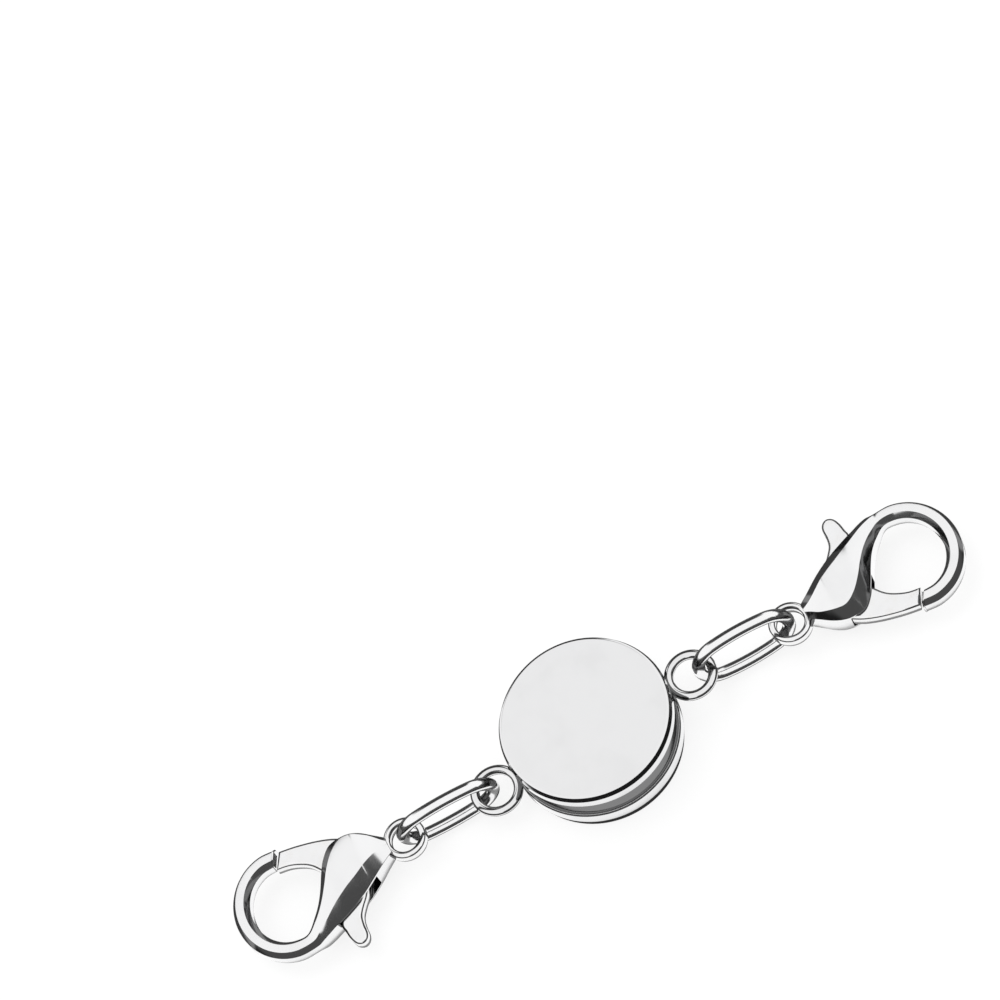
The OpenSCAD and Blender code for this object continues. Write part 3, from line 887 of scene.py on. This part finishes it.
def plating(name, finish, colour, roughness, haze=0.05, worn=1.0, hairlines=1.0, ring_lines=0.0):
    """A polished metal: its colour dulls a little where it is handled and rubbed, and hairlines catch the
    light. Ring lines are the grooves that turning leaves round Z."""
    material = bpy.data.materials.new(name)
    make = cleared(material)
    place = make.add("ShaderNodeTexCoord").outputs["Object"]
    edge = make.add("ShaderNodeAttribute", attribute_name="edge").outputs["Fac"]
    cloud = amount(make, handling_haze, place, Scale=HAZE_SCALE)
    lines = amount(make, fine_hairlines, place, Scale=HAIRLINE_SCALE)
    rubbed = amount(make, rubbed_edges, place, edge, Edge=0.0, Scale=PATCH_SCALE)
    rubbed = make.math("MULTIPLY", rubbed, finish.wear * worn)
    plate_colour, dulled = (*colour, 1), (*(c * HAZE_KEEPS for c in colour), 1)
    base = make.mix(cloud, plate_colour, dulled, colours=True)
    base = make.mix(rubbed, base, (*finish.worn, 1), colours=True)
    rough = make.math("MULTIPLY_ADD", cloud, haze, roughness)
    rough = make.math("MULTIPLY_ADD", lines, HAIRLINE_ROUGH * finish.scratches * hairlines, rough)
    rough = make.math("MULTIPLY_ADD", rubbed, RUBBED_ROUGH, rough, clamp=True)
    height = make.math("MULTIPLY", lines, -1.0)
    if ring_lines:
        x, y, _ = make.add("ShaderNodeSeparateXYZ", place).outputs
        far = make.math("SQRT", make.math("MULTIPLY_ADD", x, x, make.math("MULTIPLY", y, y)))
        grain = (GROOVE_SCALE, *GROOVE_GRAIN)
        grooves = make.out("ShaderNodeTexNoise", None, far, *grain, noise_dimensions="1D")
        height = make.math("MULTIPLY_ADD", grooves, ring_lines, height)
    relief = RELIEF + RELIEF_SCRATCHED * finish.scratches
    bump = make.out("ShaderNodeBump", relief, RELIEF_HIGH, named={"Height": height})
    looks = {"Metallic": 1, "Base Color": base, "Roughness": rough, "Normal": bump}
    make.add("ShaderNodeOutputMaterial", make.out("ShaderNodeBsdfPrincipled", named=looks))
    material.diffuse_color = plate_colour
    return material


# Operators


class MakeCups(bpy.types.Operator):
    """Build the two round halves with their soldered rings"""

    bl_idname = "clasp.make_cups"
    bl_label = "Round halves"

    def execute(self, context):
        lay, finish = Layout(context.scene), context.scene.clasp_finish
        looks = {"haze": 0.04, "hairlines": 0.8}
        metal = plating("clasp_polished_plate", finish, finish.cup, finish.polish, **looks)
        sides = (("lower", lower_cup_profile(lay), -1), ("upper", upper_cup_profile(lay), 1))
        for side, profile, way in sides:
            ring = hoop(lay.eye_r, circle(lay.h["eye_wire"] / 2, WIRE_SIDES), steps=112)
            ring.transform(Matrix.Translation((way * lay.eye_x, 0, lay.eye_z[side])))
            cup = combined(turned(profile, steps=192), "UNION", ring)
            finish_piece(side + "_cup", "_shell", cup, Matrix(), side + "_half", metal)
        return {"FINISHED"}


class MakeMagnets(bpy.types.Operator):
    """Build the two disc magnets"""

    bl_idname = "clasp.make_magnets"
    bl_label = "Magnets"

    def execute(self, context):
        lay, finish = Layout(context.scene), context.scene.clasp_finish
        looks = {"haze": 0.08, "worn": 0.6, "ring_lines": 0.25}
        metal = plating("clasp_magnet_plate", finish, finish.magnet, finish.nickel, **looks)
        radius, height = lay.h["magnet_diameter"] / 2, lay.h["magnet_height"]
        for side, low in (("lower", lay.boss_z - height), ("upper", lay.seam_z)):
            corners = [(0, low), (radius, low), (radius, low + height), (0, low + height)]
            disc = turned(rounded(corners, [MAGNET_ROUND] * 2), steps=128)
            finish_piece(side + "_magnet", "_disc", disc, Matrix(), side + "_half", metal)
        return {"FINISHED"}


class MakeJumpRings(bpy.types.Operator):
    """Build the two oval jump rings with Geometry Nodes"""

    bl_idname = "clasp.make_jump_rings"
    bl_label = "Jump rings"

    def execute(self, context):
        lay, finish = Layout(context.scene), context.scene.clasp_finish
        metal = plating("clasp_ring_wire", finish, finish.wire, finish.drawn, haze=0.04, worn=0.5)
        for side in ("lower", "upper"):
            wire, place = jump_ring_mesh(lay, metal), lay.ring_place(side)
            finish_piece(side + "_jump_ring", "_wire", wire, place, side + "_half", metal)
        return {"FINISHED"}


class MakeClaws(bpy.types.Operator):
    """Build the two claws: body and hook, lever and pin"""

    bl_idname = "clasp.make_claws"
    bl_label = "Claws"

    def execute(self, context):
        lay, finish = Layout(context.scene), context.scene.clasp_finish
        metal = plating("clasp_claw_plate", finish, finish.claw, finish.satin, haze=0.04)
        lever_metal = plating("clasp_lever_plate", finish, finish.claw, finish.satin, haze=0.05)
        steel = plating("clasp_pin_steel", finish, finish.pin, finish.steel, haze=0.1, worn=0.4)
        shapes = {
            "_claw_body": (claw_body_mesh(lay), "_half", "claw_plate", metal),
            "_claw_lever": (claw_lever_mesh(lay), "_lever", "lever_plate", lever_metal),
            "_claw_pin": (claw_pin_mesh(lay), "_half", "pin_steel", steel),
        }
        for side in ("lower", "upper"):
            place = lay.claw_place(side)
            for part, (mesh, body, slot, material) in shapes.items():
                finish_piece(side + part, "_cast", mesh, place, side + body, material)
        return {"FINISHED"}


# Strengths of the light that the polished metal mirrors, from the dome down to the ground
DOME, DOME_SIDE, BLACK_CARD = 1.08, 0.04, 0.05
RING_FRONT, RING_LOW, RING_BACK, RING_STRIP = 0.073, 0.012, 0.05, 0.25
LIGHT_CARD, CARD_LOW, GROUND, MIRRORED_AGAIN = 1.12, 0.28, 0.03, 0.2
# Top and foot of the ring of dark cards, higher in places and deeper at the back
TOP, TOP_RIGHT, TOP_HIGH, FOOT, FOOT_BACK = 0.235, 0.29, 0.45, 0.55, 0.85
# How much the ground's edge leans back, and the light on the floor and in the camera's background
LEAN, PLAIN_LIGHT = 0.2, 1.08
# Soft edges between those lights, each as the start and end of a ramp along a direction's x, y or z
EDGE = {
    "dome side": (0.15, 0.6), "behind": (0.53, 0.56), "behind top": (0.83, 0.8), "behind side": (0.4, 0.24),
    "high left": (-0.3, -0.22), "high right": (0.66, 0.6), "high near": (0.0, -0.12), "right": (0.69, 0.73),
    "front low": (-0.3, -0.16), "strip foot": (-0.38, -0.34), "strip top": (-0.18, -0.22), "back": (0.0, 0.1),
    "top": (-0.015, 0.015), "deeper": (0.4, 0.5), "foot": (0.02, -0.02), "card low": (-0.898, -0.91),
    "ground": (-0.964, -0.972), "again": (1.1, 1.9),
}


def studio_world(context):
    """A soft white studio. What the polished metal mirrors is a light dome overhead with a black card at the
    back, a ring of dark cards round the clasp, a light card below and the dark ground under that."""
    world = bpy.data.worlds.new("clasp_studio")
    make = cleared(world)
    x, y, z = make.add("ShaderNodeSeparateXYZ", make.add("ShaderNodeTexCoord").outputs["Generated"]).outputs
    side = make.math("ABSOLUTE", x)

    def over(value, edge):
        return make.ramp(value, *EDGE[edge])

    # the light dome and its black card
    dome = make.math("MULTIPLY_ADD", over(side, "dome side"), DOME_SIDE, DOME)
    behind = make.product(over(y, "behind"), over(z, "behind top"), over(side, "behind side"))
    dome = make.mix(behind, dome, BLACK_CARD)

    # the ring of dark cards, higher in the middle of the camera's side, deeper and with a strip at the back
    high = make.product(over(x, "high left"), over(x, "high right"), over(y, "high near"))
    top = make.mix(high, make.mix(over(x, "right"), TOP, TOP_RIGHT), TOP_HIGH)
    front = make.mix(over(z, "front low"), RING_LOW, RING_FRONT)
    strip = make.product(over(z, "strip foot"), over(z, "strip top"))
    ring = make.mix(over(y, "back"), front, make.mix(strip, RING_BACK, RING_STRIP))
    above = make.mix(over(make.math("SUBTRACT", z, top), "top"), ring, dome)

    # the light card below, and the ground
    card = make.mix(over(z, "card low"), LIGHT_CARD, CARD_LOW)
    card = make.mix(over(make.math("MULTIPLY_ADD", y, -LEAN, z), "ground"), card, GROUND)
    foot = make.mix(over(y, "deeper"), FOOT, FOOT_BACK)
    seen = make.mix(over(make.math("ADD", z, foot), "foot"), above, card)

    # what one piece mirrors in another is darker, as in a real tent
    path = make.add("ShaderNodeLightPath").outputs
    again = make.mix(over(path["Glossy Depth"], "again"), 1.0, MIRRORED_AGAIN)
    seen = make.math("MULTIPLY", seen, again)
    plain = make.math("MAXIMUM", path["Is Camera Ray"], path["Is Diffuse Ray"])
    light = make.out("ShaderNodeBackground", (1, 1, 1, 1), make.mix(plain, seen, PLAIN_LIGHT))
    make.add("ShaderNodeOutputWorld", light)
    context.scene.world = world


# The floor's grey, glow and roughness, the soft box's width and place in metres and its power in watts, and
# the camera's sensor in millimetres
FLOOR_GREY, FLOOR_GLOW, FLOOR_ROUGH = 0.2, 0.8, 0.9
BOX_WIDE, BOX_PLACE, BOX_POWER = 0.3, (-0.1, 0.16, 0.3), 0.35
SENSOR = 36


class MakeStage(bpy.types.Operator):
    """Build the pale floor, the studio light and the camera"""

    bl_idname = "clasp.make_stage"
    bl_label = "Studio"

    def execute(self, context):
        studio = context.scene.clasp_studio
        half = studio.floor / 2
        corners = [(-half, -half, 0), (half, -half, 0), (half, half, 0), (-half, half, 0)]
        mesh = bpy.data.meshes.new("clasp_floor")
        mesh.from_pydata(corners, [], [(0, 1, 2, 3)])
        pale = bpy.data.materials.new("pale_floor")
        pale.use_nodes = True
        looks = {
            "Base Color": (FLOOR_GREY, FLOOR_GREY, FLOOR_GREY, 1), "Emission Color": (1, 1, 1, 1),
            "Emission Strength": FLOOR_GLOW, "Roughness": FLOOR_ROUGH, "Specular IOR Level": 0,
        }
        for key, value in looks.items():
            pale.node_tree.nodes["Principled BSDF"].inputs[key].default_value = value
        mesh.materials.append(pale)
        floor = placed("clasp_floor", mesh)
        floor.visible_glossy = False

        studio_world(context)
        lamp = bpy.data.lights.new("clasp_soft_box", "AREA")
        lamp.shape, lamp.size, lamp.energy = "DISK", BOX_WIDE, BOX_POWER
        lit = placed("clasp_soft_box", lamp)
        lit.location = BOX_PLACE
        lit.rotation_euler = (-lit.location).to_track_quat("-Z", "Y").to_euler()
        lit.visible_glossy = False

        lens = bpy.data.cameras.new("clasp_camera")
        lens.lens, lens.sensor_width, lens.sensor_fit = studio.lens, SENSOR, "HORIZONTAL"
        lens.clip_start, lens.clip_end = 0.01, 10
        camera = placed("clasp_camera", lens)
        away = studio.field * studio.lens / lens.sensor_width
        tilt = Matrix.Rotation(math.pi / 2 - studio.elevation, 4, "X")
        turn = Matrix.Rotation(studio.azimuth, 4, "Z") @ tilt @ Matrix.Rotation(-studio.roll, 4, "Z")
        camera.matrix_world = turn @ Matrix.Translation((-studio.right, studio.below, away))
        context.scene.camera = camera

        view = context.scene.view_settings
        view.view_transform, view.look, view.exposure, view.gamma = "Standard", "None", 0, 1
        return {"FINISHED"}


OPERATORS = (MakeCups, MakeMagnets, MakeJumpRings, MakeClaws, MakeStage)


class ClaspPanel(bpy.types.Panel):
    bl_idname = "VIEW3D_PT_clasp"
    bl_label = "Magnetic clasp"
    bl_space_type = "VIEW_3D"
    bl_region_type = "UI"
    bl_category = "Clasp"

    def draw(self, context):
        for operator in OPERATORS:
            self.layout.operator(operator.bl_idname)
        for key in GROUPS:
            box = self.layout.box()
            group = getattr(context.scene, key)
            for shown in own(group):
                box.prop(group, shown.identifier)


CLASSES = (*GROUPS.values(), *OPERATORS, ClaspPanel)


def register():
    for made in CLASSES:
        bpy.utils.register_class(made)
    for key, group in GROUPS.items():
        setattr(bpy.types.Scene, key, PointerProperty(type=group))


def unregister():
    for key in GROUPS:
        delattr(bpy.types.Scene, key)
    for made in reversed(CLASSES):
        bpy.utils.unregister_class(made)


def main():
    register()
    bpy.ops.clasp.make_cups()
    bpy.ops.clasp.make_magnets()
    bpy.ops.clasp.make_jump_rings()
    bpy.ops.clasp.make_claws()
    bpy.ops.clasp.make_stage()


if __name__ == "__main__":
    main()
